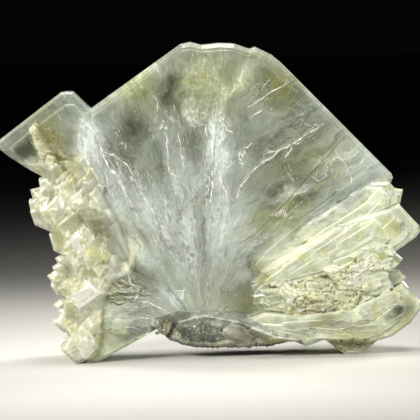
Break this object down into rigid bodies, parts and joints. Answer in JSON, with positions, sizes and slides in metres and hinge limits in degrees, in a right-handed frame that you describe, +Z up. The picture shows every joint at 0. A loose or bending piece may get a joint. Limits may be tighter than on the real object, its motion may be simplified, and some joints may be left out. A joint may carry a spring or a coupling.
{
  "type": "tunellite crystal specimen",
  "caption": "Fan of intergrown, see-through tabular crystals on a scrap of matrix, standing on the flat ends of its two lowest crystals.",
  "frame": {"origin": "on the floor, under the middle of the bounding box", "axes": "+X to the viewer's right along the fan, +Y from the front to the back through the thickness, +Z up"},
  "size_m": [0.0524, 0.0156, 0.0393],
  "materials": {
    "crystal": "clear to milky, glassy faces",
    "matrix": "dull and granular"
  },
  "bodies": {
    "root": {"crystal_cluster": "crystal", "base_matrix": "matrix"}
  },
  "joints": []
}
